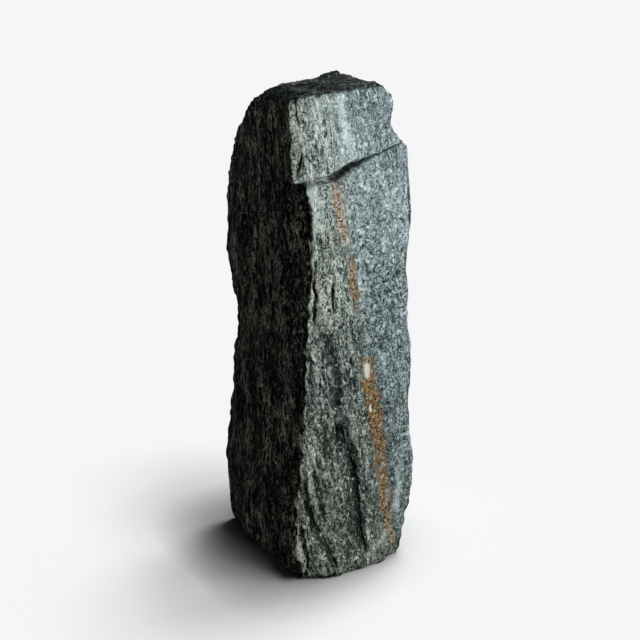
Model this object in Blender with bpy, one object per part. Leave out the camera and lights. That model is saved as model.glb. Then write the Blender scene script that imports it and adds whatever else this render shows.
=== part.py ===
"""Garden monolith: one upright block of banded gneiss, split on four sides and standing on a flat foot.

A ledge crosses the stone near the top: the block above it overhangs the front corner. The script starts from a
cylinder primitive whose turns and courses become the stone's faces and heights, then moves each vertex to the split
surface. Units in the tables are millimetres, +Z is up, the bright face looks along -Y and the dark one along -X.
"""

import math

import bmesh
import bpy
import numpy as np
from mathutils import Matrix, Vector, noise

MM = 0.001

# The arrises from the foot up: (height, X, Y). Above and below the ledge, the front and right ones differ.
FRONT_BELOW = [
    (0, -108, -149),
    (14, -122, -151),
    (50, -139, -151),
    (77, -138, -152),
    (115, -136, -152),
    (161, -131, -151),
    (240, -122, -150),
    (322, -115, -149),
    (424, -111, -148),
    (484, -107, -146),
    (532, -102, -145),
    (600, -94, -144),
    (667, -90, -143),
    (705, -88, -142),
    (743, -91, -141),
    (792, -98, -140),
]
FRONT_ABOVE = [(805, -130, -148), (822, -137, -147), (909, -138, -144), (960, -136, -140)]
RIGHT_BELOW = [
    (0, 101, -148),
    (18, 108, -149),
    (52, 114, -150),
    (75, 121, -149),
    (121, 127, -150),
    (149, 131, -150),
    (220, 131, -150),
    (308, 125, -150),
    (417, 130, -150),
    (455, 127, -149),
    (507, 115, -147),
    (559, 120, -146),
    (608, 115, -145),
    (673, 124, -143),
    (722, 127, -142),
    (794, 116, -140),
    (841, 111, -140),
]
RIGHT_ABOVE = [
    (849, 102, -143),
    (871, 88, -144),
    (893, 77, -143),
    (917, 84, -142),
    (937, 86, -141),
    (955, 78, -140),
    (967, 68, -139),
]
REAR = [
    (0, 94, 140),
    (40, 110, 152),
    (200, 118, 156),
    (420, 112, 148),
    (560, 121, 144),
    (700, 116, 150),
    (800, 108, 146),
    (870, 96, 112),
    (925, 80, 62),
    (968, 60, 24),
]
LEFT = [
    (0, -110, 158),
    (11, -115, 157),
    (38, -118, 157),
    (89, -119, 161),
    (155, -120, 168),
    (205, -119, 159),
    (255, -118, 146),
    (307, -118, 137),
    (411, -118, 126),
    (442, -117, 112),
    (495, -117, 112),
    (522, -118, 122),
    (567, -118, 133),
    (601, -119, 147),
    (713, -119, 145),
    (791, -118, 127),
    (844, -118, 110),
    (872, -118, 80),
    (901, -118, 62),
    (928, -118, 33),
    (951, -117, -6),
]
# Where the dark face ends and the spalled front corner begins.
BREAK = [(0, -121, -62), (300, -123, -66), (560, -122, -74), (800, -121, -72), (900, -124, -78), (952, -123, -84)]

# The ledge, by share of the way across each face: (share, lower lip, upper lip, depth), lips as heights. Past the
# right arris it runs on as a joint that closes before the rear arris. The back and the dark face have none.
LEDGE = {
    "bright": [
        (0, 798, 808, 5),
        (0.15, 795, 809, 10),
        (0.3, 792, 812, 20),
        (0.38, 801, 822, 22),
        (0.5, 814, 831, 20),
        (0.6, 823, 835, 13),
        (0.75, 829, 839, 9),
        (1, 841, 850, 11),
    ],
    "flank": [(0, 841, 850, 11), (0.2, 852, 859, 9), (0.4, 843, 848, 6), (0.6, 851, 854, 2), (1, 822, 824, 0)],
    "back": [(0, 822, 824, 0), (1, 788, 790, 0)],
    "dark": [(0, 788, 790, 0), (1, 797, 799, 0)],
    "spall": [(0, 797, 799, 0), (1, 798, 808, 5)],
}

# The broken top's edge: heights by share of the way across each face.
TOP_EDGE = {
    "bright": [(0, 960), (0.06, 966), (0.4, 966), (1, 967)],
    "flank": [(0, 967), (0.78, 966), (0.86, 959), (0.93, 967), (1, 968)],
    "back": [(0, 968), (0.15, 967), (0.35, 960), (0.8, 956), (1, 951)],
    "dark": [(0, 951), (1, 952)],
    "spall": [(0, 952), (1, 960)],
}
# Inside its rim the top lies near a plane, of this height over the origin and slope along X and Y.
TOP_HEIGHT = 963
TOP_SLOPE = (0.05, -0.02)
TOP_CENTRE = (-14, -52)
TOP_CHAMFER = 4
TOP_RIM = 0.35
TOP_FACETS, TOP_PITCH, TOP_SEED = 5, 50, 7.9

# Faces in order round the stone: name, arris it starts from, arris it ends at, how many facets it has across.
FACES = [
    ("bright", "front", "right", 28),
    ("flank", "right", "rear", 14),
    ("back", "rear", "left", 13),
    ("dark", "left", "break", 17),
    ("spall", "break", "front", 8),
]
AROUND = sum(face[3] for face in FACES)
COURSES_BELOW = 34
COURSES_ABOVE = 8
TOP_RINGS = 6

# How far a face swells past the straight line between its arrises, at the foot and over the body. The swell goes
# from one to the other up to FOOT_SWELL_ENDS, and fades out over the shoulder.
SWELL = {"bright": (31, 5), "flank": (10, 12), "back": (8, 14), "dark": (8, 6), "spall": (6, 1)}
FOOT_SWELL_ENDS = 120
SHOULDER = (870, 950)

# Corners round the foot are worn back: (height, inset).
FOOT_CHAMFER = [(0, 5), (7, 2), (24, 0)]

# Each face's relief: (pattern, how far it stands out, pitch, stretch along the height, seed).
RELIEF = {
    "bright": [("ribs", 5, 95, 3, 3.7), ("plates", 4, 34, 4, 9.2)],
    "flank": [("facets", 12, 85, 1.7, 4.4), ("plates", 7, 40, 3, 2.8)],
    "back": [("facets", 14, 95, 1.5, 8.6), ("plates", 8, 45, 3, 5.5)],
    "dark": [("ribs", 9, 34, 4.5, 1.3), ("facets", 7, 70, 2.5, 6.1)],
    "spall": [("ribs", 8, 30, 4, 1.3)],
}
# An arris keeps this share of the relief, which grows to the whole within ARRIS_WIDTH, a share of the face.
ARRIS_RELIEF = 0.25
ARRIS_WIDTH = 0.16
# The bright face is rougher towards the foot: twice as much below the first height as above the second.
ROUGH_FOOT = (250, 520)
FOLIATION_LEAN = 0.12

# Grooves of the bright face, each a line of (X, height) with its depth and half width.
GROOVES = [
    ([(-83, 654), (-88, 600), (-91, 544)], 7, 6),
    ([(-49, 603), (-46, 553)], 4, 7),
    ([(-53, 505), (-43, 458), (-34, 414), (-41, 330), (-41, 256)], 4, 9),
    ([(-29, 305), (-12, 271), (-4, 222), (4, 181), (6, 120), (5, 58), (11, 24)], 7, 8),
    ([(-113, 211), (-105, 148), (-95, 107)], 6, 6),
    ([(-78, 171), (-71, 88), (-61, 40), (-61, 4)], 7, 7),
]


def along(points, position):
    """The values of a table at a position in its first column, joined by straight lines."""
    columns = np.array(points, float).T
    return [float(np.interp(position, columns[0], column)) for column in columns[1:]]


def smooth_step(low, high, value):
    share = min(1.0, max(0.0, (value - low) / (high - low)))
    return share * share * (3 - 2 * share)


def arris(name, height, above):
    tables = {
        "front": FRONT_ABOVE if above else FRONT_BELOW,
        "right": RIGHT_ABOVE if above else RIGHT_BELOW,
        "rear": REAR,
        "left": LEFT,
        "break": BREAK,
    }
    return Vector(along(tables[name], height))


def stations():
    """Every facet corner round the stone, as (face, start, end, share of the way across)."""
    return [(name, start, end, step / count) for name, start, end, count in FACES for step in range(count)]


def ribs(point, pitch, stretch, seed):
    """Noise drawn out along the foliation, which stands upright and leans a little to the right."""
    x, y, z = point
    lean = FOLIATION_LEAN * z
    return noise.noise(Vector(((x + lean) / pitch + seed, y / pitch - seed, z / (pitch * stretch))))


def plates(point, pitch, stretch, seed):
    """Split layers: broad flats that end in short steps."""
    height = 3 * (ribs(point, pitch, stretch, seed) + 0.5)
    flat = math.floor(height)
    return (flat + smooth_step(0.35, 0.65, height - flat)) / 3 - 0.5


def facets(point, pitch, stretch, seed):
    """Broken facets: each cell of the pattern has its own height and tilt, and meets the next in a short ramp."""
    x, y, z = point
    spot = Vector((x / pitch + seed, y / pitch - seed, z / (pitch * stretch)))
    distances, centres = noise.voronoi(spot)
    heights = []
    for centre in centres[:2]:
        tilt = noise.cell_vector(centre * 9) - Vector((0.5, 0.5, 0.5))
        heights.append(tilt.x + tilt.y + (spot - centre).dot(tilt))
    meeting = 0.5 + 0.5 * smooth_step(0, 0.25, distances[1] - distances[0])
    return heights[1] + (heights[0] - heights[1]) * meeting


def groove_depth(point):
    x, _, z = point
    here = Vector((x, z))
    deepest = 0.0
    for line, depth, half_width in GROOVES:
        distance = min(distance_to(here, Vector(a), Vector(b)) for a, b in zip(line, line[1:]))
        deepest = max(deepest, depth * math.exp(-((distance / half_width) ** 2)))
    return deepest


def distance_to(here, start, end):
    run = end - start
    share = min(1.0, max(0.0, (here - start).dot(run) / run.length_squared))
    return (here - start - run * share).length


def relief(name, point):
    """How far the split surface stands out of its face here."""
    patterns = {"ribs": ribs, "plates": plates, "facets": facets}
    stand = sum(far * patterns[pattern](point, *shape) for pattern, far, *shape in RELIEF[name])
    if name == "bright":
        stand *= 2 - smooth_step(*ROUGH_FOOT, point.z)
        stand -= groove_depth(point)
    return stand


def outward(ring):
    """The level direction away from the stone at each corner of a ring."""
    normals = []
    for before, after in zip(ring[-1:] + ring[:-1], ring[1:] + ring[:1]):
        run = after - before
        normals.append(Vector((run.y, -run.x, 0)).normalized())
    return normals


def course(heights, above, inset):
    """One ring of corners: heights and inset hold a value for each station."""
    bare = []
    for (name, start, end, share), height in zip(stations(), heights):
        corner = arris(start, height, above).lerp(arris(end, height, above), share)
        bare.append(Vector((corner.x, corner.y, height)))
    normals = outward(bare)
    ring = []
    for (name, _, _, share), point, normal, depth in zip(stations(), bare, normals, inset):
        foot, body = SWELL[name]
        swell = foot + (body - foot) * smooth_step(0, FOOT_SWELL_ENDS, point.z)
        swell *= 1 - smooth_step(*SHOULDER, point.z)
        off_arris = smooth_step(0, ARRIS_WIDTH, min(share, 1 - share))
        kept = ARRIS_RELIEF + (1 - ARRIS_RELIEF) * off_arris
        stand = swell * math.sin(math.pi * share) + relief(name, point) * kept
        ring.append(point + normal * (stand - depth))
    return ring


def courses():
    """The stone's rings from the foot to the top's edge."""
    ledge = [along(LEDGE[name], share) for name, _, _, share in stations()]
    low_lip, high_lip, depth = zip(*ledge)
    top = [along(TOP_EDGE[name], share)[0] for name, _, _, share in stations()]
    rings = []
    for height, inset in FOOT_CHAMFER:
        rings.append(course([height] * AROUND, False, [inset] * AROUND))
    for step in range(1, COURSES_BELOW + 1):
        share = step / COURSES_BELOW
        heights = [height + (lip - height) * share for lip in low_lip]
        rings.append(course(heights, False, [0] * AROUND))
    middle = [(low + high) / 2 for low, high in zip(low_lip, high_lip)]
    rings.append(course(middle, False, depth))
    for step in range(COURSES_ABOVE + 1):
        share = step / COURSES_ABOVE
        heights = [lip + (edge - lip) * share for lip, edge in zip(high_lip, top)]
        inset = [TOP_CHAMFER if step == COURSES_ABOVE else 0] * AROUND
        rings.append(course(heights, True, inset))
    return rings


def top_point(corner, share):
    """A point of the broken top, a share of the way in from a corner of its edge."""
    x, y = corner.xy.lerp(Vector(TOP_CENTRE), share)
    plane = TOP_HEIGHT + TOP_SLOPE[0] * x + TOP_SLOPE[1] * y
    broken = plane + TOP_FACETS * facets((x, y, 0), TOP_PITCH, 1, TOP_SEED)
    return Vector((x, y, corner.z + (broken - corner.z) * smooth_step(0, TOP_RIM, share)))


def blank(course_count):
    """A closed cylinder of unit radius: one edge per station, one loop per course, rings across its top."""
    shape = bmesh.new()
    lift = Matrix.Translation((0, 0, 0.5))
    bmesh.ops.create_cone(
        shape, cap_ends=True, segments=AROUND, radius1=1, radius2=1, depth=1, matrix=lift
    )
    upright = [edge for edge in shape.edges if edge.verts[0].co.z != edge.verts[1].co.z]
    bmesh.ops.subdivide_edges(shape, edges=upright, cuts=course_count - 2)
    lid = [face for face in shape.faces if face.calc_center_median().z > 0.999]
    for _ in range(TOP_RINGS):
        bmesh.ops.inset_region(shape, faces=lid, thickness=1 / (TOP_RINGS + 1), use_even_offset=True)
    bmesh.ops.poke(shape, faces=lid)
    return shape


def shape_stone():
    rings = courses()
    top = len(rings) - 1
    shape = blank(len(rings))
    for vertex in shape.verts:
        radius = vertex.co.xy.length
        station = round(math.atan2(vertex.co.y, vertex.co.x) / math.tau * AROUND) % AROUND
        if vertex.co.z > 0.999 and radius < 0.999:
            vertex.co = top_point(rings[top][station], 1 - radius)
        else:
            vertex.co = rings[round(vertex.co.z * top)][station]
    return shape


def centre_on_foot(shape):
    """Moves the stone so that the origin is under the middle of its box, and turns it into metres."""
    corners = np.array([vertex.co for vertex in shape.verts])
    middle = (corners.min(0) + corners.max(0)) / 2
    shift = Matrix.Translation((-middle[0], -middle[1], 0))
    bmesh.ops.transform(shape, matrix=Matrix.Scale(MM, 4) @ shift, verts=shape.verts)


def gneiss():
    material = bpy.data.materials.new("banded_gneiss")
    material.use_nodes = True
    surface = material.node_tree.nodes["Principled BSDF"]
    surface.inputs["Base Color"].default_value = (0.13, 0.155, 0.155, 1)
    surface.inputs["Roughness"].default_value = 0.82
    surface.inputs["Metallic"].default_value = 0.0
    return material


def main():
    for old in list(bpy.data.objects):
        bpy.data.objects.remove(old, do_unlink=True)
    shape = shape_stone()
    centre_on_foot(shape)
    bmesh.ops.triangulate(shape, faces=shape.faces)
    bmesh.ops.recalc_face_normals(shape, faces=shape.faces)
    mesh = bpy.data.meshes.new("monolith")
    shape.to_mesh(mesh)
    shape.free()
    mesh.materials.append(gneiss())
    mesh.shade_smooth()
    mesh.set_sharp_from_angle(angle=math.radians(30))
    stone = bpy.data.objects.new("monolith", mesh)
    bpy.context.scene.collection.objects.link(stone)


main()
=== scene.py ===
import functools
import math

import bmesh
import bpy
import numpy as np
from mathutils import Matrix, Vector, noise


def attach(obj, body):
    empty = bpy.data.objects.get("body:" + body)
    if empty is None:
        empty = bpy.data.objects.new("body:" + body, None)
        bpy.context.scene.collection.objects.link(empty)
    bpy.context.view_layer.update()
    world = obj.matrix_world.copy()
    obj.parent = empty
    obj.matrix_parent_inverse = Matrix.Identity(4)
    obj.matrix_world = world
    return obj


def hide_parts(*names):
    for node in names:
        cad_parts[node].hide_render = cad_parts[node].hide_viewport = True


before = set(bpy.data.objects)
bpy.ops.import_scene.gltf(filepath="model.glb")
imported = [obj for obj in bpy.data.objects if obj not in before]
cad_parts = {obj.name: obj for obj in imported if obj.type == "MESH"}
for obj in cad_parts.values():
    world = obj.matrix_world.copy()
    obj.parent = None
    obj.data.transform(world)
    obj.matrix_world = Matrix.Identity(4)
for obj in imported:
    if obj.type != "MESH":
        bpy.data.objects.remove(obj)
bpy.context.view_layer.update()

mm = 0.001
print("frame loaded")


def fadeIn(value, limits):
    # 0 up to the first limit, 1 past the second, and a smooth curve between them
    share = np.clip((np.asarray(value, float) - limits[0]) / (limits[1] - limits[0]), 0, 1)
    return share * share * (3 - 2 * share)


def fadeOut(value, limits):
    return 1 - fadeIn(value, limits)


def linear(hexColour):
    # an sRGB hex value as the linear colour that sockets take
    parts = [int(hexColour[place:place + 2], 16) / 255 for place in (1, 3, 5)]
    return [part / 12.92 if part <= 0.04045 else ((part + 0.055) / 1.055) ** 2.4 for part in parts] + [1.0]


# The stone. Here and below, lengths are in mm, and a pair is where something begins and where it is complete.
stone = {
    "merge": 0.01,  # points of the plain solid that are nearer than this are one
    "cuts": 3,  # new points along each of its edges
    "sharp": 24,  # degrees at which one of its edges is an arris or a lip
    "evenings": 30,  # rounds that take its facets out of the faces between the arrises
    "roundings": 1,  # rounds that blunt the arrises too, but not the foot
    "footLine": 1,  # the foot's points are lower than this
    "corner": {"right": -60, "behind": -60, "low": 10, "high": 780},  # the worn front corner under the ledge
    "cornerRoundings": 18,  # more rounds for that corner
    "softening": 20,  # rounds of smoothing for the normals that carry the relief
    "topSwell": 3,  # makes up for the height that rounding takes off the broken top
    "flankSwell": [  # the same for the right arris, as (height, how far)
        (0, 6), (180, 6), (300, 3), (700, 4), (850, 8), (880, 4), (905, 1), (960, 2),
    ],
    "flankTurn": (0.1, 0.7),  # how much of a normal points right where that swell begins and is complete
    "flat": 0.1,  # what starts lower than this ends at the ground
}
# The foliation leans this much to the left for each unit of height.
foliationLean = 0.15

# Relief of each face: kind, how far it stands out, width across the foliation, length along it, seed.
relief = {
    "bright": [
        ("ribs", 1.4, 44, 190, 3.1),
        ("steps", 1.6, 28, 100, 5.5),
        ("ridges", 0.7, 12, 40, 8.4),
        ("pits", 0.9, 8, 11, 1.9),
    ],
    "dark": [
        ("ribs", 1.8, 34, 190, 2.2),
        ("steps", 1.8, 26, 120, 6.7),
        ("ridges", 1.0, 13, 70, 9.1),
    ],
    "flank": [
        ("ribs", 2.0, 40, 120, 1.4),
        ("steps", 2.4, 34, 90, 7.3),
        ("ridges", 0.8, 14, 50, 4.4),
        ("pits", 0.7, 8, 14, 2.9),
    ],
    "back": [
        ("ribs", 2.5, 44, 130, 5.8),
        ("steps", 2.8, 38, 100, 3.6),
        ("ridges", 1.0, 14, 60, 7.7),
        ("pits", 0.7, 8, 14, 6.9),
    ],
    "top": [("ribs", 1.6, 30, 30, 4.1), ("steps", 1.6, 26, 26, 9.4), ("pits", 0.8, 8, 8, 3.3)],
}
# The bright face's relief is this many times as strong: everywhere, and what its left and its low left add.
brightRough = {"everywhere": 0.7, "left": 1.2, "lowLeft": 1.5}
leastShare = 0.001  # a face's relief is left out where its share is less
# Split layers come in this many steps for each unit of noise, with a scarp in this part of each step.
layerSteps = {"count": 2.5, "scarp": (0.38, 0.62)}
# Crests are this much steeper than ribs, and their hollows this round.
crest = {"steep": 1.6, "round": 0.8}


def ribs(point, width, length, seed):
    # upright swells, drawn out along the foliation
    x, y, z = point
    across = (x + foliationLean * z) / width
    return noise.noise(Vector((across + seed, y / width - seed, z / length)))


def ridges(point, width, length, seed):
    # sharp crests with rounded hollows between them
    return 1 - 2 * abs(crest["steep"] * ribs(point, width, length, seed)) ** crest["round"]


def steps(point, width, length, seed):
    # split layers: flats that end in short scarps
    height = layerSteps["count"] * (ribs(point, width, length, seed) + 0.5)
    flat = math.floor(height)
    return (flat + float(fadeIn(height - flat, layerSteps["scarp"]))) / layerSteps["count"] - 0.5


def pits(point, width, length, seed):
    # where grains broke out, with finer ones among them
    return ribs(point, width, length, seed) + 0.5 * ribs(point, width / 2, length / 2, seed + 4)


patterns = {"ribs": ribs, "ridges": ridges, "steps": steps, "pits": pits}


def smoothed(shape, verts, rounds):
    for _ in range(rounds):
        bmesh.ops.smooth_vert(
            shape, verts=verts, factor=0.5, use_axis_x=True, use_axis_y=True, use_axis_z=True
        )
    shape.normal_update()


def isCorner(place):
    box = stone["corner"]
    beside = place.x < box["right"] * mm and place.y < box["behind"] * mm
    return beside and box["low"] * mm < place.z < box["high"] * mm


def refined(source):
    # the plain solid cut fine, its facets evened out between the arrises, with soft normals for the relief
    shape = bmesh.new()
    shape.from_mesh(source.data)
    bmesh.ops.remove_doubles(shape, verts=shape.verts, dist=stone["merge"] * mm)
    bmesh.ops.subdivide_edges(shape, edges=shape.edges, cuts=stone["cuts"], use_grid_fill=True)
    bmesh.ops.triangulate(shape, faces=shape.faces)
    sharp = math.radians(stone["sharp"])
    held = {vert for edge in shape.edges if edge.calc_face_angle(0) > sharp for vert in edge.verts}
    smoothed(shape, [vert for vert in shape.verts if vert not in held], stone["evenings"])
    smoothed(shape, [vert for vert in shape.verts if vert.co.z > stone["footLine"] * mm], stone["roundings"])
    smoothed(shape, [vert for vert in shape.verts if isCorner(vert.co)], stone["cornerRoundings"])
    mesh = bpy.data.meshes.new("splitStone")
    shape.to_mesh(mesh)
    smoothed(shape, shape.verts, stone["softening"])
    normals = np.array([vert.normal for vert in shape.verts])
    shape.free()
    piece = bpy.data.objects.new("splitStone", mesh)
    bpy.context.scene.collection.objects.link(piece)
    return piece, normals


def toLine(front, line):
    # how far each point (X, height) is from a line, and how far to the left of it
    best = np.full(len(front), np.inf)
    side = np.zeros(len(front))
    for start, end in zip(line, line[1:]):
        start, run = np.array(start[:2], float), np.subtract(end[:2], start[:2]).astype(float)
        offset = front - start
        share = np.clip(offset @ run / (run @ run), 0, 1)
        away = offset - share[:, None] * run
        far = np.hypot(away[:, 0], away[:, 1])
        left = (run[1] * offset[:, 0] - run[0] * offset[:, 1]) / np.hypot(*run)
        side = np.where(far < best, left, side)
        best = np.minimum(best, far)
    return best, side


def noiseAt(points, size, seed):
    return np.array([noise.noise(Vector(point) / size + Vector((seed, -seed, seed))) for point in points])


def waved(points, waves):
    # the sum of soft waves, given as (how much, how many times finer along X, Y and Z, size, seed)
    return sum(amount * noiseAt(points * finer, size, seed) for amount, finer, size, seed in waves)


def profile(rows, column, at, key=0):
    # a column of a table, read between its rows by another column
    table = np.array(sorted(rows, key=lambda row: row[key]), float)
    return np.interp(at, table[:, key], table[:, column])


def spots(front, places):
    # 1 at the middle of each spot, 0 at its rim
    best = np.full(len(front), paint["nowhere"])
    for x, z, wide, high in places:
        best = np.maximum(best, 1 - np.hypot((front[:, 0] - x) / wide, (front[:, 1] - z) / high))
    return best


# Where the regions of the surface begin and where they are complete, by X, by height or by how much of a
# normal points that way.
regions = {
    "side": (0.35, 0.8),  # the surface has the split of the side that it faces
    "forward": (0.05, 0.5),  # it faces the front at all
    "square": (0.78, 0.96),  # it looks straight at a side, so it is no arris
    "underside": 60,  # below this height, what looks down takes the side that it belongs to
    "levelLeast": 0.1,  # the least that such a normal points level
    "leftX": (-70, 10),  # the left of the bright face, where the height is that of leftFrom
    "leftFrom": 800,
    "leftLean": 0.12,  # how far it reaches further right for each unit of height below that
    "lowLeftX": (-85, -30),
    "lowLeftHeight": (120, 420),
}
# The broken edges of layers and of colours wander by these waves: how far, how many times finer along X, Y
# and Z, size, seed.
raggedEdge = [(3.0, (1, 1, 1), 26, 1.5), (1.8, (1, 1, 1), 9, 4.5)]


def readSurface(piece, normals):
    # where every point is, which face it belongs to, and in which region of the bright face it lies
    points = np.zeros(len(piece.data.vertices) * 3)
    piece.data.vertices.foreach_get("co", points)
    points = points.reshape(-1, 3) / mm
    x, height = points[:, 0], points[:, 2]
    under = (normals[:, 2] < 0) & (height < regions["underside"])
    level = np.hypot(normals[:, 0], normals[:, 1])[:, None]
    sideways = normals / np.maximum(level, regions["levelLeast"]) * (1, 1, 0)
    facing = np.where(under[:, None], sideways, normals)
    ragged = waved(points, raggedEdge)
    turns = {
        "bright": -facing[:, 1], "dark": -facing[:, 0], "flank": facing[:, 0], "back": facing[:, 1],
        "top": normals[:, 2],
    }
    return {
        "points": points,
        "x": x,
        "height": height,
        "normals": normals,
        "facing": facing,
        "front": np.column_stack((x + ragged, height)),
        "shares": {face: fadeIn(turn, regions["side"]) for face, turn in turns.items()},
        "forward": fadeIn(-normals[:, 1], regions["forward"]),
        "left": fadeOut(x - regions["leftLean"] * (regions["leftFrom"] - height), regions["leftX"]),
        "lowLeft": fadeOut(height, regions["lowLeftHeight"]) * fadeOut(x, regions["lowLeftX"]),
        "above": height - profile(ledge, 1, x) + ledgeForm["ragged"] * ragged,
        "ledgeHalf": profile(ledge, 2, x),
    }


def raiseRelief(at):
    rise = np.zeros(len(at["height"]))
    for face, layers in relief.items():
        share = at["shares"][face]
        near = np.flatnonzero(share > leastShare)
        rough = 1
        if face == "bright":
            rough = brightRough["everywhere"] + brightRough["left"] * at["left"][near]
            rough = rough + brightRough["lowLeft"] * at["lowLeft"][near]
        for kind, far, width, length, seed in layers:
            pattern = patterns[kind]
            stand = np.array([pattern(at["points"][index], width, length, seed) for index in near])
            rise[near] += far * stand * rough * share[near]
    return rise


# Split layers of the bright face end at these lines of points (X, height). The layer to the left of a line is
# lower by the drop, down a face of the given width, and recovers within the reach. Painted shade darkens that
# face, which looks left, away from the key light, and some lines gape, by this half width.
scarps = [
    {
        "line": [(-84, 652), (-87, 609), (-86, 579), (-88, 536)],
        "drop": 4, "face": 3, "reach": 16, "gape": 3.2,
    },
    {"line": [(-48, 602), (-47, 577), (-49, 552)], "drop": 2, "face": 3, "reach": 12, "gape": 2.4},
    {"line": [(-122, 976), (-122, 945), (-120, 918)], "drop": 1, "face": 3, "reach": 10, "gape": 1.8},
    {"line": [(-118, 862), (-119, 838), (-129, 815)], "drop": 1, "face": 3, "reach": 10, "gape": 1.8},
    {
        "line": [(-84, 540), (-59, 499), (-44, 462), (-37, 427), (-34, 394), (-36, 350)],
        "drop": 6, "face": 8, "reach": 30, "stain": 0.4,
    },
    {"line": [(-39, 322), (-37, 300), (-34, 262)], "drop": 2, "face": 4, "reach": 14, "gape": 1.4},
    {
        "line": [(-30, 308), (-17, 264), (-1, 220), (7, 180), (14, 141), (15, 70), (19, 24)],
        "drop": 4, "face": 6, "reach": 24, "gape": 1.7, "stain": 0.5,
    },
    {
        "line": [(-107, 200), (-103, 157), (-91, 116), (-67, 65), (-56, 22)],
        "drop": 5, "face": 6, "reach": 18, "gape": 1.6, "stain": 0.5,
    },
    {"line": [(-87, 225), (-74, 163), (-67, 118)], "drop": 4, "face": 7, "reach": 18, "stain": 0.5},
    {"line": [(-120, 124), (-113, 72), (-109, 20)], "drop": 4, "face": 5, "reach": 14, "gape": 1.3},
    {"line": [(91, 60), (100, 53), (110, 51)], "drop": 1, "face": 3, "reach": 8, "gape": 1.2},
    {"line": [(-64, 700), (-70, 640), (-66, 590)], "drop": 2, "face": 5, "reach": 18},
    {"line": [(-96, 470), (-92, 400), (-98, 330)], "drop": 4, "face": 8, "reach": 20, "stain": 0.5},
    {"line": [(-60, 400), (-66, 330), (-62, 250)], "drop": 3, "face": 8, "reach": 18, "stain": 0.5},
]
# What all these lines share.
scarpEdge = {
    "beyond": 10,  # a line fades in this far beyond its ends
    "inside": 8,  # and is whole this far inside them
    "brink": -1.5,  # the drop begins here, where less than 0 is right of the line
    # the painted shade on a scarp's face begins and is whole here
    "shadeFrom": (-3, 1),
    "shadeFade": 7,  # how far past the face the painted shade goes
    "stain": 0.35,  # how dark the painted shade is where the line gives none
}
# What the gaping ones share. They close in places, by waves of this kind.
crack = {
    "waves": [(0.9, (1, 1, 1), 22, 7.5)],
    "open": 0.95,
    "widest": 1.2,
    "depth": 2.5,
    "width": 5,
    "beside": 6.0,  # the darkness beside a crack is followed up to this many half widths
    "reach": (7, 11),
}


def splitLayers(at, rise):
    # lowers the layers beside the scarps and opens the cracks, and marks where both are for their colours and
    # where the scarps' faces take painted shade
    height = at["height"]
    gaps = np.clip(crack["open"] + waved(at["points"], crack["waves"]), 0, crack["widest"])
    stain, crackNear = np.zeros(len(height)), np.zeros(len(height))
    nearest, crackSide = np.full(len(height), np.inf), np.full(len(height), crack["beside"])
    for scarp in scarps:
        far, side = toLine(at["front"], scarp["line"])
        top, foot = scarp["line"][0][1], scarp["line"][-1][1]
        beyond, inside = scarpEdge["beyond"], scarpEdge["inside"]
        along = fadeIn(height, (foot - beyond, foot + inside)) * fadeOut(height, (top - inside, top + beyond))
        along = along * at["forward"]
        past = np.maximum(far - scarp["face"], 0)
        low = fadeIn(side, (scarpEdge["brink"], scarp["face"])) * np.exp(-past / scarp["reach"])
        rise -= scarp["drop"] * low * along
        # painted shade on the scarp's face, which looks left, away from the key light
        face = fadeIn(side, scarpEdge["shadeFrom"])
        face = face - fadeIn(side, (scarp["face"], scarp["face"] + scarpEdge["shadeFade"]))
        stain = np.maximum(stain, face * along * scarp.get("stain", scarpEdge["stain"]))
        if "gape" in scarp:
            rise -= crack["depth"] * along * np.exp(-(far / crack["width"]) ** 2) * gaps
            beside = np.clip(side / scarp["gape"], -crack["beside"], crack["beside"])
            crackSide = np.where(far < nearest, beside, crackSide)
            crackNear = np.maximum(crackNear, along * fadeOut(far, crack["reach"]) * gaps)
            nearest = np.minimum(nearest, far)
    return {"stain": stain, "crackSide": crackSide, "crackNear": crackNear}


# How the arrises wore and where they didn't.
wear = {
    "depth": 2.4,
    "waves": [(1, (1, 1, 1), 19, 0.0), (0.6, (1, 1, 1), 8, 0.0)],
    "middle": 0.5,
    "swing": 1.8,
    "limits": (-0.3, 2.5),
    "cornerX": (-90, -60),  # the front corner wore twice as much, up to the ledge
    "cornerHeight": (770, 800),
    "tipX": (-125, -95),  # the lowest corner of the upper block is still crisp
    "tipHeight": 803,
    "tipReach": (15, 40),
    "lipReach": (12, 30),  # and so is the ledge's lip
    "spared": 0.9,
}


def wearArrises(at, rise):
    x, height, forward = at["x"], at["height"], at["forward"]
    arris = fadeOut(np.abs(at["normals"]).max(1), regions["square"])
    corner = fadeOut(x, wear["cornerX"]) * forward * fadeOut(height, wear["cornerHeight"])
    tip = fadeOut(x, wear["tipX"]) * forward * fadeOut(np.abs(height - wear["tipHeight"]), wear["tipReach"])
    lip = forward * fadeOut(np.abs(at["above"]), wear["lipReach"])
    worn = wear["depth"] * (1 + corner) * (1 - wear["spared"] * np.maximum(tip, lip))
    chips = np.clip(wear["middle"] + wear["swing"] * waved(at["points"], wear["waves"]), *wear["limits"])
    rise -= arris * worn * chips


# The recess under the upper block, as (X, height, half height).
ledge = [
    (-136, 802, 6), (-92, 802, 8), (-66, 802, 8), (-50, 803, 8), (-38, 806, 9), (-20, 813, 8), (0, 821, 5),
    (20, 828, 3.4), (40, 832, 2.7), (60, 836, 2.2), (80, 840.5, 1.7), (100, 845, 1.6), (130, 851, 1.6),
]
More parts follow.
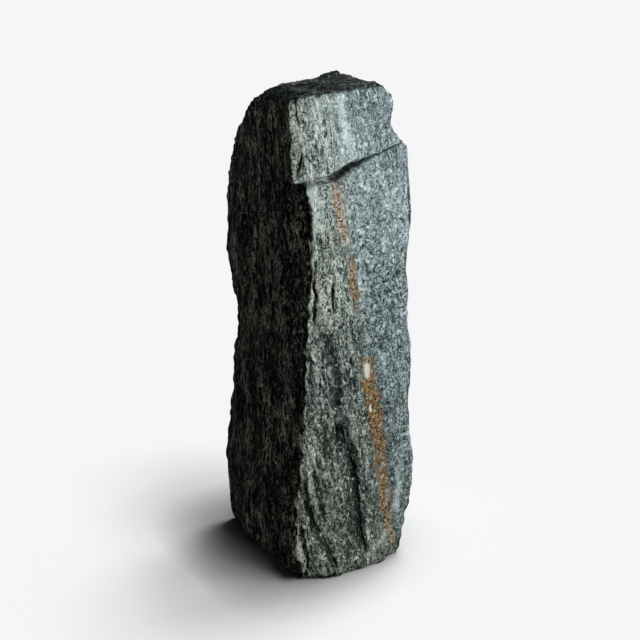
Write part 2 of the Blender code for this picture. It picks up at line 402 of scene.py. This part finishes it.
# The finished ledge sits higher than the plain solid's, as (X, how much).
ledgeRise = [(-140, 0), (-100, 2), (-60, 4), (-20, 5), (10, 6), (65, 8), (130, 8)]
ledgeForm = {
    "ragged": 0.5,  # how much of the ragged edge's waves it has
    "jags": [(2.2, (1, 0, 0), 9, 5.2), (1.4, (1, 0, 0), 6, 8.1)],
    "carried": 35,  # how far above and below it the surface goes up with it
    "depth": 3,  # how much further in the recess goes on the left
    "turn": (-0.2, 0.3),  # how much a normal points forward where the recess begins and where it is whole
    "lips": (0.5, 1.1),  # in half heights
    "shallow": (-30, 25),  # along X, where the groove stops being deep
    "beside": 30,  # the face's own level is read this far above and below the groove
    "besideReach": 12,
    "besideShare": 0.5,  # and where the surface is this much the bright face's
    "curve": 3,  # the degree of the curve through it
    "fill": 0.6,  # how much of the groove is filled where it is shallow
    "slack": 1,  # this depth is left as it is
    "deepest": (14, 24),  # and so is what is deeper than these
    "fillReach": 20,
    "fillEnd": (95, 115),  # along X, where the filling stops at the flank
}


def shapeLedge(at, moved):
    # deepens the recess on the left, fills it on the right, and lifts the ledge and makes it jagged
    x, above = at["x"], np.abs(at["above"])
    recess = fadeIn(-at["normals"][:, 1], ledgeForm["turn"])
    recess = recess * fadeOut(above / at["ledgeHalf"], ledgeForm["lips"])
    rightward = fadeIn(x, ledgeForm["shallow"])
    moved[:, 1] += ledgeForm["depth"] * recess * (1 - rightward)
    beside = np.abs(above - ledgeForm["beside"]) < ledgeForm["besideReach"]
    beside = beside & (at["shares"]["bright"] > ledgeForm["besideShare"])
    faceCurve = np.polynomial.Polynomial.fit(x[beside], at["points"][beside, 1], ledgeForm["curve"])
    sunk = np.maximum(moved[:, 1] - faceCurve(x) - ledgeForm["slack"], 0)
    fillable = fadeOut(sunk, ledgeForm["deepest"]) * (above < ledgeForm["fillReach"])
    sunk *= fillable * fadeOut(x, ledgeForm["fillEnd"])
    moved[:, 1] -= ledgeForm["fill"] * sunk * rightward
    lift = profile(ledgeRise, 1, x) + waved(at["points"], ledgeForm["jags"])
    moved[:, 2] += lift * at["forward"] * np.exp(-(above / ledgeForm["carried"]) ** 2)


# The front corner broke in notches, half as deep on the upper block.
notches = {
    "depth": 7,
    "waves": [(1, (1, 1, 0.5), 14, 8.8), (0.6, (1, 1, 0.7), 6, 2.2)],
    "x": (-110, -70),  # they fade out to the right here
    "forward": (60, 90),  # and are there where the surface is this far forward
    "top": 960,  # up to this height
    "upperBlock": 800,
    "upperShare": 0.5,
}


def breakCorner(at, moved):
    x, height = at["x"], at["height"]
    corner = fadeOut(x, notches["x"]) * fadeIn(-at["points"][:, 1], notches["forward"])
    corner = corner * (height < notches["top"])
    share = np.where(height < notches["upperBlock"], 1, notches["upperShare"])
    moved[:, 0] += notches["depth"] * corner * waved(at["points"], notches["waves"]) * share


def shapeStone(piece, at):
    rise = raiseRelief(at)
    marks = splitLayers(at, rise)
    wearArrises(at, rise)
    moved = at["points"] + at["normals"] * rise[:, None]
    swell = profile(stone["flankSwell"], 1, at["height"])
    moved[:, 0] += swell * fadeIn(at["normals"][:, 0], stone["flankTurn"])
    shapeLedge(at, moved)
    breakCorner(at, moved)
    moved[:, 2] = np.maximum(moved[:, 2] + stone["topSwell"] * at["shares"]["top"], 0)
    moved[at["height"] < stone["flat"], 2] = 0
    piece.data.vertices.foreach_set("co", (moved * mm).astype(np.float32).ravel())
    return marks | {"rise": rise}


# Where colours lie.
paint = {
    "front": 0.3,  # the vein and the quartz lie where the bright face has more than this share
    "nowhere": -5.0,
    "ledgeReach": 30,  # how far from the ledge its colours are followed
    "ledgeTurn": (0.25, 0.45),  # where the surface faces forward enough for them
    "ledgeNone": 40,  # taken off the ledge's half height where it doesn't
    "ledgeDark": (-64, -46),  # along X, where the ledge's shelf gives way to a hollow darkened as painted shade
    "micaAndShadeTurn": (0.2, 0.9),  # how much of a normal points left where mica and painted shade begin and where they cover all
    "backMica": (0.7, (0.05, 0.5)),  # how much of the back has mica, and in which of its bands
    "flankUpright": 0.5,  # how far the flank's grain is drawn out
}

# The rusty vein from the ledge down, as (X, height, half width, how much rust, how orange).
vein = [
    (-42, 797, 10, 0.8, 0.7),
    (-39, 766, 13, 1, 0.1),
    (-35, 742, 13, 1, 0),
    (-30, 712, 12, 1, 0.1),
    (-22, 686, 10, 0.9, 0.2),
    (-16, 673, 4, 0.3, 0.1),
    (-12, 662, 4, 0.3, 0.2),
    (-10, 652, 10, 1.05, 0.9),
    (-9, 624, 10, 0.95, 0.5),
    (-7, 604, 10, 0.95, 0.9),
    (-3, 577, 9, 0.95, 0.9),
    (2, 546, 6, 0.7, 1),
    (11, 517, 5, 0.15, 0.3),
    (20, 494, 8, 0.5, 0.1),
    (24, 480, 8, 0.6, 0.2),
    (24, 452, 9, 0.2, 0.8),
    (23, 436, 19, 0.9, 1),
    (26, 400, 20, 1.15, 1),
    (33, 364, 20, 1.15, 1),
    (41, 323, 21, 1.1, 1),
    (47, 279, 20, 0.9, 1),
    (57, 228, 19, 0.85, 1),
    (67, 162, 17, 0.85, 0.9),
    (77, 104, 17, 0.9, 0.85),
    (84, 60, 14, 0.8, 0.8),
    (89, 20, 11, 0.5, 0.75),
]
veinEdge = [(0.4, (1, 1, 1), 15, 6.6)]  # the waves in its width
# Smaller rusty spots and clear quartz, as (X, height, half width, half height).
rustSpots = [(21, 489, 7, 8), (111, 851, 9, 6)]
spotRust = {"amount": 0.5, "reach": -0.5}  # how much rust the spots have, and out to where
quartz = [(23, 417, 9, 21), (31, 338, 4, 10), (-80, 92, 3, 5), (-27, 204, 4, 4), (-7, 27, 5, 5)]


def markVein(at):
    front, height = at["front"], at["height"]
    onFront = at["shares"]["bright"] > paint["front"]
    inSpots = spots(front, rustSpots)
    red = 1 - toLine(front, vein)[0] / profile(vein, 2, height, 1) + waved(at["points"], veinEdge)
    return {
        "vein": np.where(onFront, np.maximum(red, inSpots), paint["nowhere"]),
        "rust": np.maximum(profile(vein, 3, height, 1), spotRust["amount"] * (inSpots > spotRust["reach"])),
        "orange": profile(vein, 4, height, 1),
        "quartz": np.where(onFront, spots(front, quartz), paint["nowhere"]),
    }


def markLedge(at):
    turnedAway = fadeOut(-at["normals"][:, 1], paint["ledgeTurn"])
    return {
        "above": np.clip(at["above"], -paint["ledgeReach"], paint["ledgeReach"]),
        "ledgeHalf": at["ledgeHalf"] - paint["ledgeNone"] * turnedAway,
        "ledgeDark": fadeIn(at["x"], paint["ledgeDark"]),
    }


# Layers of the bright face with more feldspar (positive) or more mica (negative), and broad patches, with
# half widths of 45 and more, that only make a region paler (positive) or darker (negative): a line of points
# (X, height), a half width, and how much.
bands = [
    ([(-25, 962), (-31, 934), (-24, 900), (-19, 877), (-7, 838)], 13, 0.15),
    ([(-81, 956), (-90, 925), (-78, 895), (-64, 870)], 16, 0.14),
    ([(-104, 222), (-96, 180), (-83, 139)], 9, 0.16),
    # a pale strip on the front corner near the foot, partly its own streaks and partly a painted highlight
    # along that edge
    ([(-129, 120), (-127, 60), (-122, 15)], 9, 0.2),
    ([(-90, 40), (60, 40)], 60, 0.03),
    ([(-100, 440), (-100, 280)], 60, 0.05),
    ([(-22, 748), (-20, 735)], 6, 0.12),
    ([(8, 606), (9, 594)], 6, 0.12),
    ([(3, 415), (5, 395)], 8, 0.12),
    ([(100, 210), (104, 150), (98, 100)], 16, 0.17),
    ([(-80, 640), (-78, 540)], 50, 0.1),
    ([(-50, 940), (-45, 850)], 50, 0.07),
    ([(-90, 790), (-70, 720)], 50, 0.07),
    ([(70, 900), (60, 760)], 70, -0.03),
    ([(35, 40), (70, 52)], 12, 0.12),
    ([(-108, 939), (-79, 907), (-50, 862), (-28, 833)], 9, -0.06),
    ([(-110, 880), (-95, 857), (-79, 825)], 8, -0.04),
    ([(-41, 902), (-24, 866), (-7, 845)], 8, -0.07),
    ([(-45, 300), (-20, 200), (-4, 120), (-6, 60)], 45, -0.06),
    ([(60, 660), (75, 500)], 70, -0.05),
]
# The flank and the back are banded by waves drawn out upright instead.
hiddenBands = {"waves": [(1, (1, 1, 0.12), 26, 3.3), (0.5, (1, 1, 0.2), 11, 6.1)], "strength": 0.16}
# How strongly the pale and dark grains differ: (height, share). Low on the right they differ more.
contrast = [(0, 0.74), (200, 0.74), (400, 0.82), (600, 0.94), (750, 0.86), (850, 0.77), (950, 0.72)]
lowRightContrast = {"more": 0.2, "height": (300, 700)}
# The stone darkens towards the ground: (height, share of the full brightness).
darkening = [(0, 0.64), (60, 0.68), (200, 0.74), (400, 0.70), (600, 0.92), (720, 1), (800, 1), (900, 0.9)]
# Warm dirt at the foot, low down, down the left, and at the top left: how much, and where it fades.
weathering = {
    "foot": (0.5, (20, 90)),
    "low": (0.35, (100, 420)),
    "left": (0.5, (690, 740)),
    "topLeft": (0.7, (-128, -100), (800, 830)),
}


def markLayers(at):
    # bands of feldspar and mica, how strong the grain is, how dark and how dirty the surface is, and where
    # its coat of mica and painted shade lies
    x, height, left, lowLeft, shares = at["x"], at["height"], at["left"], at["lowLeft"], at["shares"]
    band = np.zeros(len(height))
    for line, width, amount in bands:
        band += amount * fadeOut(toLine(at["front"], line)[0] / width, (0, 1))
    layered = waved(at["points"], hiddenBands["waves"])
    band += hiddenBands["strength"] * layered * (shares["flank"] + shares["back"])
    moreLow = lowRightContrast["more"] * (1 - left) * fadeOut(height, lowRightContrast["height"])
    (foot, footHeight), (low, lowHeight) = weathering["foot"], weathering["low"]
    down, downHeight = weathering["left"]
    topLeft, topLeftX, topLeftHeight = weathering["topLeft"]
    dirt = foot * fadeOut(height, footHeight) + low * fadeOut(height, lowHeight)
    dirt = dirt + topLeft * fadeOut(x, topLeftX) * fadeIn(height, topLeftHeight)
    dirt = lowLeft + down * left * fadeOut(height, downHeight) + dirt
    backMica, micaBands = paint["backMica"]
    mica = backMica * shares["back"] * fadeIn(layered, micaBands)
    # the side that looks left, away from the key light, takes the coat partly as painted shade
    mica = fadeIn(-at["facing"][:, 0], paint["micaAndShadeTurn"]) + mica
    upright = shares["bright"] * left + shares["back"] + paint["flankUpright"] * shares["flank"] + lowLeft
    return {
        "band": band * (shares["bright"] + shares["flank"] + shares["back"]),
        "contrast": profile(contrast, 1, height) * (1 + moreLow),
        "dim": profile(darkening, 1, height),
        "weathered": np.clip(dirt, 0, 1) * shares["bright"],
        "mica": np.clip(mica, 0, 1),
        "upright": np.clip(upright, 0, 1),
        "top": shares["top"],
        "left": left,
    }


def addMarks(piece, marks):
    for name, value in marks.items():
        attribute = piece.data.attributes.new(name, "FLOAT", "POINT")
        attribute.data.foreach_set("value", np.asarray(value, np.float32))
    piece.data.update()


def addNode(tree, kind, settings=None, inputs=(), out=0):
    # adds a node, sets it, links or fills its inputs, by name or in order, and returns one of its outputs
    node = tree.nodes.new(kind)
    for name, value in (settings or {}).items():
        if name == "stops":
            while len(node.color_ramp.elements) < len(value):
                node.color_ramp.elements.new(0.5)
            for element, (at, colour) in zip(node.color_ramp.elements, value):
                element.position = at
                element.color = linear(colour)
        else:
            setattr(node, name, value)
    for socket, value in inputs.items() if isinstance(inputs, dict) else enumerate(inputs):
        if isinstance(value, bpy.types.NodeSocket):
            tree.links.new(value, node.inputs[socket])
        else:
            node.inputs[socket].default_value = value
    return node.outputs[out]


# Gneiss as split: pale feldspar and quartz grains in a net of dark mica and hornblende. Dry and rough, so it
# has almost no gloss. Each layer of the pattern: kind of texture, size across the foliation, through it and
# along it, and how far it swings the share of pale grains. A range is from, to, and the values at both where
# they aren't 0 and 1.
gneiss = {
    "cloud": {"Scale": 1, "Detail": 3, "Roughness": 0.6},
    "wander": {"size": 22, "far": 16, "detail": 2},  # the foliation bends by this much
    "even": [("cells", (1.9, 1.9, 2.6), 0.32), ("cells", (4.2, 4.2, 8), 0.11), ("cloud", (9, 9, 18), 0.39)],
    "drawn": [("cells", (1.8, 1.8, 3.6), 0.38), ("cells", (3.4, 3.4, 14), 0.13), ("cloud", (6, 6, 30), 0.46)],
    "upright": (0.3, 0.7),  # where the grains are drawn out
    "patch": (45, 45, 90),
    "plate": (13, 13, 70),  # drawn grains lie in plates, each of its own tone, with dark gaps in some patches
    "plateTone": 0.14,
    "plateGap": (0.02, 0.10, 1.0, 0.0),
    "gapPatches": (0.42, 0.56),
    "gapTone": -0.16,
    "flake": (3.2, 3.2, 13),  # loose flakes of mica
    "flakes": (0.36, 0.43, 1.0, 0.0),
    "speck": (5, 5, 6),  # single large grains of quartz
    "specks": (0.90, 0.93),
    # how far these swing the share of pale grains. The relief's height makes its crests paler and its hollows
    # darker, as painted light and shade, and the scarps' faces are darkened as painted shade.
    "swing": {
        "patch": 0.24, "dim": 0.27, "band": 1, "rise": 0.010, "flake": -0.13, "speck": 0.18, "stain": -0.15,
    },
    # hornblende, grey mica, the two mixed with quartz, feldspar, and quartz
    "tones": [(0.28, "#1E2627"), (0.39, "#556161"), (0.50, "#8A999A"), (0.61, "#B2C0C1"), (0.80, "#DCE3E1")],
    "dimmed": (0.6, 1.0, 0.93, 1.0),
    "coldTint": "#F9FEFF",
    "leftTint": "#FFFEF6",
    "dirt": "#FFF6EA",
    "roughness": 0.8,
    "gloss": 0.1,
    "bump": {"strength": 0.8, "height": 2.2},
}
# Mica coats the split sides and the top: near black, partly the mica's own colour and partly painted shade,
# since the left side looks away from the key light and the key light only grazes the top. Its thin paler
# upright lines, where layers end, are painted highlights on the layers' edges.
micaAndShadeCoat = {
    "lines": [((7.5, 7.5, 85), 10, 0.6), ((3.8, 3.8, 34), 9, 0.5)],  # size, how sharp, how strong
    "lineWidth": 0.7,
    "base": 0.22,  # the tone between the lines
    # the relief's height pales the coat on its ridges, as painted highlights
    "swing": {"grain": 0.7, "patch": 1.2, "rise": 0.05},
    "tones": [(0.15, "#050503"), (0.5, "#20201C"), (1.0, "#B6B4A8")],
    # the top's coat, darker partly as painted shade, since the key light only grazes the top
    "topTones": [(0.34, "#0A0D0F"), (0.5, "#22282B"), (0.70, "#848E92")],
    "topShare": 0.9,
    "edge": 0.8,  # how much the grain breaks up the coat's edge
    "edgeRange": (0.35, 0.65),
    "bump": 4.0,
}
# Iron has rusted along the vein: each grain has its own brown, from nearly black to cream, and clear quartz
# stands between.
rust = {
    "grain": (2.9, 2.9, 4.3),
    "at": (0.02, 0.2, 0.4, 0.6, 0.8, 0.98),
    "pinkish": ["#30251E", "#87624E", "#AE8E7C", "#D0C6B8", "#7E8474", "#E6E3DA"],
    "orange": ["#120E08", "#583218", "#82562A", "#96784A", "#505C46", "#BCB698"],
    "edge": 1.5,
    "edgeRange": (0.0, 0.3),
    "patch": (7, 7, 14),
    "patchSwing": 2.4,
    "patchRange": (0.45, 0.8, 0.0, 0.92),
    "quartz": "#C8D0CA",
    "quartzEdge": 1.6,
    "quartzRange": (0.05, 0.3),
}
# The ledge's shelf is broken level across the foliation and dusty. Its hollow and the cracks are painted near
# black, as painted shade, and the hollow is blackest under the upper block's edge, as its painted shadow.
hidden = {
    "streak": (50, 50, 3),
    "streakGrain": 0.5,
    "shelf": [(0.38, "#454B4A"), (0.62, "#A8B0AD")],
    "hollow": [(0.3, "#0B0D0D"), (0.7, "#565C5B")],
    "hollowBlack": "#060606",
    "hollowRange": (-0.1, 0.3, 0.0, 0.95),
    "ledgeEdge": 8,
    "ledgeRange": (-0.5, 0.7),
    "crack": "#050606",
    "crackEdge": 0.9,
    "crackRange": (0.7, 1.3, 0.97, 0.0),
}
middle = 0.5  # the textures and the share of pale grains vary about this


def makeGneiss(markNames):
    material = bpy.data.materials.new("gneiss")
    material.use_nodes = True
    tree = material.node_tree
    surface = tree.nodes["Principled BSDF"]
    add = functools.partial(addNode, tree)
    mark = {name: add("ShaderNodeAttribute", {"attribute_name": name}, out=2) for name in markNames}
    place = add("ShaderNodeTexCoord", out=3)
    bend = gneiss["wander"]
    wander = {"Vector": place, "Scale": 1 / (bend["size"] * mm), "Detail": bend["detail"]}
    wander = add("ShaderNodeTexNoise", None, wander, 1)
    wander = add("ShaderNodeVectorMath", {"operation": "SUBTRACT"}, [wander, (middle, middle, middle)])
    wander = add("ShaderNodeVectorMath", {"operation": "SCALE"}, {0: wander, "Scale": bend["far"] * mm})
    bent = add("ShaderNodeVectorMath", {"operation": "ADD"}, [place, wander])

    def laid(kind, size, lean=foliationLean):
        # a texture drawn out along the foliation: soft clouds, grains of one tone, or the joints between them
        scale = [length * mm for length in size]
        turned = {"Vector": bent, "Rotation": (0, -math.atan(lean), 0), "Scale": scale}
        at = add("ShaderNodeMapping", {"vector_type": "TEXTURE"}, turned)
        if kind == "cloud":
            return add("ShaderNodeTexNoise", None, {"Vector": at} | gneiss["cloud"])
        if kind == "joints":
            return add("ShaderNodeTexVoronoi", {"feature": "DISTANCE_TO_EDGE"}, {"Vector": at, "Scale": 1})
        tone = add("ShaderNodeTexVoronoi", None, {"Vector": at, "Scale": 1}, 1)
        return add("ShaderNodeSeparateColor", None, [tone])

    def summed(base, swings):
        # a base value and, for each part, its swing about its rest value, times its weight
        total = base - sum(weight * rest for _, weight, rest in swings)
        for value, weight, _ in swings:
            total = add("ShaderNodeMath", {"operation": "MULTIPLY_ADD"}, [value, weight, total])
        return total

    def over(colour, layers):
        # layers of colour, each laid over the ones before by its share, or multiplied into them
        for share, layer, kind in layers:
            mixed = {"data_type": "RGBA", "blend_type": kind}
            colour = add("ShaderNodeMix", mixed, {0: share, 6: colour, 7: layer}, 2)
        return colour

    # the grain: even on the right, and drawn out in plates on the left and on the hidden sides
    patch = laid("cloud", gneiss["patch"])
    even, drawn = [
        summed(middle, [(laid(kind, size), weight, middle) for kind, size, weight in gneiss[habit]])
        for habit in ("even", "drawn")
    ]
    gaps = add("ShaderNodeMapRange", None, [laid("joints", gneiss["plate"]), *gneiss["plateGap"]])
    gapPatches = add("ShaderNodeMapRange", None, [patch, *gneiss["gapPatches"]])
    gaps = add("ShaderNodeMath", {"operation": "MULTIPLY"}, [gaps, gapPatches])
    plates = laid("cells", gneiss["plate"])
    drawn = summed(0, [(drawn, 1, 0), (gaps, gneiss["gapTone"], 0), (plates, gneiss["plateTone"], middle)])
    upright = add("ShaderNodeMapRange", None, [mark["upright"], *gneiss["upright"]])
    grain = add("ShaderNodeMix", None, {0: upright, 2: even, 3: drawn})
    grain = summed(0, [(grain, 1, middle)])
    grain = add("ShaderNodeMath", {"operation": "MULTIPLY_ADD"}, [grain, mark["contrast"], middle])

    # the stone's colour, with painted light and shade from the relief and painted shade on the scarps' faces
    flake = add("ShaderNodeMapRange", None, [laid("cloud", gneiss["flake"]), *gneiss["flakes"]])
    speck = add("ShaderNodeMapRange", None, [laid("cells", gneiss["speck"]), *gneiss["specks"]])
    swing = gneiss["swing"]
    mix = summed(0, [
        (grain, 1, 0), (patch, swing["patch"], middle), (mark["dim"], swing["dim"], 1),
        (mark["band"], swing["band"], 0), (mark["rise"], swing["rise"], 0), (flake, swing["flake"], 0),
        (speck, swing["speck"], 0), (mark["stain"], swing["stain"], 0),
    ])
    body = add("ShaderNodeValToRGB", {"stops": gneiss["tones"]}, [mix])
    tint = over(linear(gneiss["coldTint"]), [(mark["left"], linear(gneiss["leftTint"]), "MIX")])
    dirt = over((1, 1, 1, 1), [(mark["weathered"], linear(gneiss["dirt"]), "MIX")])
    dimmed = add("ShaderNodeMapRange", None, [mark["dim"], *gneiss["dimmed"]])
    body = over(body, [(1.0, dimmed, "MULTIPLY"), (1.0, tint, "MULTIPLY"), (1.0, dirt, "MULTIPLY")])

    # the coat of mica, partly painted shade on the left side and the top, with painted highlights on its
    # lines and ridges
    lines = []
    for size, sharpness, strength in micaAndShadeCoat["lines"]:
        offset = summed(0, [(laid("cloud", size), 1, middle)])
        offset = add("ShaderNodeMath", {"operation": "ABSOLUTE"}, [offset])
        lines.append((summed(micaAndShadeCoat["lineWidth"], [(offset, -sharpness, 0)]), strength, 0))
    swing = micaAndShadeCoat["swing"]
    layers = summed(micaAndShadeCoat["base"], [
        *lines, (grain, swing["grain"], middle), (patch, swing["patch"], middle),
        (mark["rise"], swing["rise"], 0),
    ])
    coat = add("ShaderNodeValToRGB", {"stops": micaAndShadeCoat["tones"]}, [layers])
    topCoat = add("ShaderNodeValToRGB", {"stops": micaAndShadeCoat["topTones"]}, [mix])
    coat = over(coat, [(mark["top"], topCoat, "MIX")])
    topShare = (mark["top"], micaAndShadeCoat["topShare"], 0)
    coated = summed(0, [(mark["mica"], 1, 0), topShare, (grain, micaAndShadeCoat["edge"], middle)])
    coated = add("ShaderNodeMapRange", None, [coated, *micaAndShadeCoat["edgeRange"]])
    colour = over(body, [(coated, coat, "MIX")])

    # the vein and its quartz
    tone = laid("cells", rust["grain"])
    pinkish, orange = [
        add("ShaderNodeValToRGB", {"stops": list(zip(rust["at"], rust[name]))}, [tone])
        for name in ("pinkish", "orange")
    ]
    rusty = over(pinkish, [(mark["orange"], orange, "MIX")])
    inVein = summed(0, [(mark["vein"], 1, 0), (grain, rust["edge"], middle)])
    inVein = add("ShaderNodeMapRange", None, [inVein, *rust["edgeRange"]])
    held = summed(0, [(mark["rust"], 1, 0), (laid("cloud", rust["patch"]), rust["patchSwing"], middle)])
    held = add("ShaderNodeMapRange", None, [held, *rust["patchRange"]])
    rusted = add("ShaderNodeMath", {"operation": "MULTIPLY"}, [inVein, held])
    clear = summed(0, [(mark["quartz"], 1, 0), (grain, rust["quartzEdge"], middle)])
    clear = add("ShaderNodeMapRange", None, [clear, *rust["quartzRange"]])

    # the ledge, pale shelf on the left and, on the right, a hollow darkened as painted shade
    streaks = laid("cloud", hidden["streak"], 0.0)
    streaks = summed(0, [(streaks, 1, 0), (grain, hidden["streakGrain"], middle)])
    shelf = add("ShaderNodeValToRGB", {"stops": hidden["shelf"]}, [streaks])
    hollow = add("ShaderNodeValToRGB", {"stops": hidden["hollow"]}, [grain])
    # painted shadow: the hollow turns black towards the upper block's edge
    deep = add("ShaderNodeMath", {"operation": "DIVIDE"}, [mark["above"], mark["ledgeHalf"]])
    deep = add("ShaderNodeMapRange", None, [deep, *hidden["hollowRange"]])
    hollow = over(hollow, [(deep, linear(hidden["hollowBlack"]), "MIX")])
    shelf = over(shelf, [(mark["ledgeDark"], hollow, "MIX")])
    away = add("ShaderNodeMath", {"operation": "ABSOLUTE"}, [mark["above"]])
    inLedge = summed(0, [(mark["ledgeHalf"], 1, 0), (away, -1, 0), (grain, hidden["ledgeEdge"], middle)])
    inLedge = add("ShaderNodeMapRange", None, [inLedge, *hidden["ledgeRange"]])

    # the cracks, painted near black as painted shade
    away = add("ShaderNodeMath", {"operation": "ABSOLUTE"}, [mark["crackSide"]])
    inCrack = summed(0, [(away, 1, 0), (grain, hidden["crackEdge"], middle)])
    inCrack = add("ShaderNodeMapRange", None, [inCrack, *hidden["crackRange"]])
    kept = {"operation": "MULTIPLY", "use_clamp": True}
    inCrack = add("ShaderNodeMath", kept, [inCrack, mark["crackNear"]])

    colour = over(colour, [
        (rusted, rusty, "MIX"), (clear, linear(rust["quartz"]), "MIX"),
        (inLedge, shelf, "MIX"), (inCrack, linear(hidden["crack"]), "MIX"),
    ])
    tree.links.new(colour, surface.inputs["Base Color"])
    surface.inputs["Roughness"].default_value = gneiss["roughness"]
    surface.inputs["Specular IOR Level"].default_value = gneiss["gloss"]

    coarse = {"Strength": mark["mica"], "Distance": micaAndShadeCoat["bump"] * mm, "Height": layers}
    fine = {"Strength": gneiss["bump"]["strength"], "Distance": gneiss["bump"]["height"] * mm, "Height": mix}
    fine["Normal"] = add("ShaderNodeBump", None, coarse)
    tree.links.new(add("ShaderNodeBump", None, fine), surface.inputs["Normal"])
    return material


piece, broadNormals = refined(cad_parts["monolith"])
surfaceAt = readSurface(piece, broadNormals)
marks = shapeStone(piece, surfaceAt)
print("stone split and worn,", len(piece.data.polygons), "faces")
marks = marks | markVein(surfaceAt) | markLedge(surfaceAt) | markLayers(surfaceAt)
addMarks(piece, marks)
piece.data.shade_smooth()
piece.data.materials.clear()
piece.data.materials.append(makeGneiss(marks))
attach(piece, "root")
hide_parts("monolith")
print("stone finished")

# A pale floor with a painted shadow near the stone, a low key light from the right, weak fill, and soft light
# on the floor alone. Metres, watts and degrees.
studio = {
    "floorSize": 40,
    "floorTone": 0.9,
    "lamps": {
        "key": {"place": (1.3, -1.6, 1.22), "size": 0.4, "power": 46},
        "fill": {"place": (-1.5, -1.9, 0.6), "size": 0.9, "power": 12},
        "back": {"place": (1.0, 1.6, 0.9), "size": 0.8, "power": 30},
        "above": {"place": (-0.7, 0.2, 2.2), "size": 1.0, "power": 6.5},
    },
    "lampAim": (0, 0, 0.5),
    # how the light on the floor is shared among suns: azimuth, elevation, share
    "floorSuns": [(-70, 67, 0.26), (-40, 74, 0.22), (18, 66, 0.26), (31, 74, 0.26)],
    "floorPower": 3.25,
    "sunSpread": 15,
    # the floor's colour darkens within this distance of the stone, as painted shadow, most where it stands
    # between floor and light
    "contact": {"reach": 0.18, "towards": (0.8, -0.3, 1.0), "strength": 1.5, "samples": 6},
    "ambient": 0.05,
    "backdrop": (0.92, 0.92, 0.92, 1),
}
# The camera: where it stands and its film and lens in mm, and the way it looks in degrees.
view = {"place": (-1582.8, -2749.29, 1640), "azimuth": -30, "down": 20.12, "film": 36, "lens": 95.85}


def makeFloor():
    shape = bmesh.new()
    bmesh.ops.create_grid(shape, x_segments=1, y_segments=1, size=studio["floorSize"] / 2)
    mesh = bpy.data.meshes.new("floor")
    shape.to_mesh(mesh)
    shape.free()
    cover = bpy.data.materials.new("floorWithPaintedShadow")
    cover.use_nodes = True
    tree = cover.node_tree
    contact = studio["contact"]
    # painted shadow: the floor's colour darkens where the stone hides it from the light
    towards = addNode(tree, "ShaderNodeVectorMath", {"operation": "NORMALIZE"}, [contact["towards"]])
    around = {"Distance": contact["reach"], "Normal": towards}
    openness = addNode(tree, "ShaderNodeAmbientOcclusion", {"samples": contact["samples"]}, around, 1)
    shade = addNode(tree, "ShaderNodeMath", {"operation": "POWER"}, [openness, contact["strength"]])
    shade = addNode(tree, "ShaderNodeMath", {"operation": "MULTIPLY"}, [shade, studio["floorTone"]])
    surface = tree.nodes["Principled BSDF"]
    tree.links.new(shade, surface.inputs["Base Color"])
    surface.inputs["Roughness"].default_value = 1.0
    surface.inputs["Specular IOR Level"].default_value = 0.0
    mesh.materials.append(cover)
    floor = bpy.data.objects.new("floor", mesh)
    bpy.context.scene.collection.objects.link(floor)
    floor.visible_diffuse = False
    floor.visible_glossy = False
    return floor


def receiver(name, thing):
    group = bpy.data.collections.new(name)
    group.objects.link(thing)
    return group


def addLamp(name, light, direction, receivers, place=(0, 0, 0)):
    lamp = bpy.data.objects.new(name, light)
    lamp.location = place
    lamp.rotation_mode = "QUATERNION"
    lamp.rotation_quaternion = Vector(direction).to_track_quat("-Z", "Y")
    lamp.light_linking.receiver_collection = receivers
    bpy.context.scene.collection.objects.link(lamp)


def lightStudio(floor):
    onStone, onFloor = receiver("onStone", piece), receiver("onFloor", floor)
    for name, kit in studio["lamps"].items():
        light = bpy.data.lights.new(name, "AREA")
        light.shape = "DISK"
        light.size = kit["size"]
        light.energy = kit["power"]
        addLamp(name, light, Vector(studio["lampAim"]) - Vector(kit["place"]), onStone, kit["place"])
    for azimuth, elevation, share in studio["floorSuns"]:
        turn, lift = math.radians(azimuth), math.radians(elevation)
        towards = Vector((math.cos(turn) * math.cos(lift), math.sin(turn) * math.cos(lift), math.sin(lift)))
        sun = bpy.data.lights.new("floorSun", "SUN")
        sun.angle = math.radians(studio["sunSpread"])
        sun.energy = studio["floorPower"] * share
        addLamp("floorSun", sun, -towards, onFloor)
    world = bpy.data.worlds.new("studio")
    bpy.context.scene.world = world
    world.use_nodes = True
    tree = world.node_tree
    dim = tree.nodes["Background"]
    dim.inputs["Color"].default_value = (1, 1, 1, 1)
    dim.inputs["Strength"].default_value = studio["ambient"]
    pale = addNode(tree, "ShaderNodeBackground", None, [studio["backdrop"]])
    seen = addNode(tree, "ShaderNodeLightPath")
    shown = addNode(tree, "ShaderNodeMixShader", None, [seen, dim.outputs[0], pale])
    tree.links.new(shown, tree.nodes["World Output"].inputs[0])


def placeCamera():
    camera = bpy.data.objects.new("camera", bpy.data.cameras.new("camera"))
    bpy.context.scene.collection.objects.link(camera)
    bpy.context.scene.camera = camera
    camera.data.sensor_width = view["film"]
    camera.data.lens = view["lens"]
    camera.location = Vector(view["place"]) * mm
    turn, down = math.radians(view["azimuth"]), math.radians(view["down"])
    ahead = Vector((-math.sin(turn) * math.cos(down), math.cos(turn) * math.cos(down), -math.sin(down)))
    camera.rotation_mode = "QUATERNION"
    camera.rotation_quaternion = ahead.to_track_quat("-Z", "Y")


lightStudio(makeFloor())
placeCamera()
bpy.context.scene.view_settings.view_transform = "Standard"
print("studio ready")
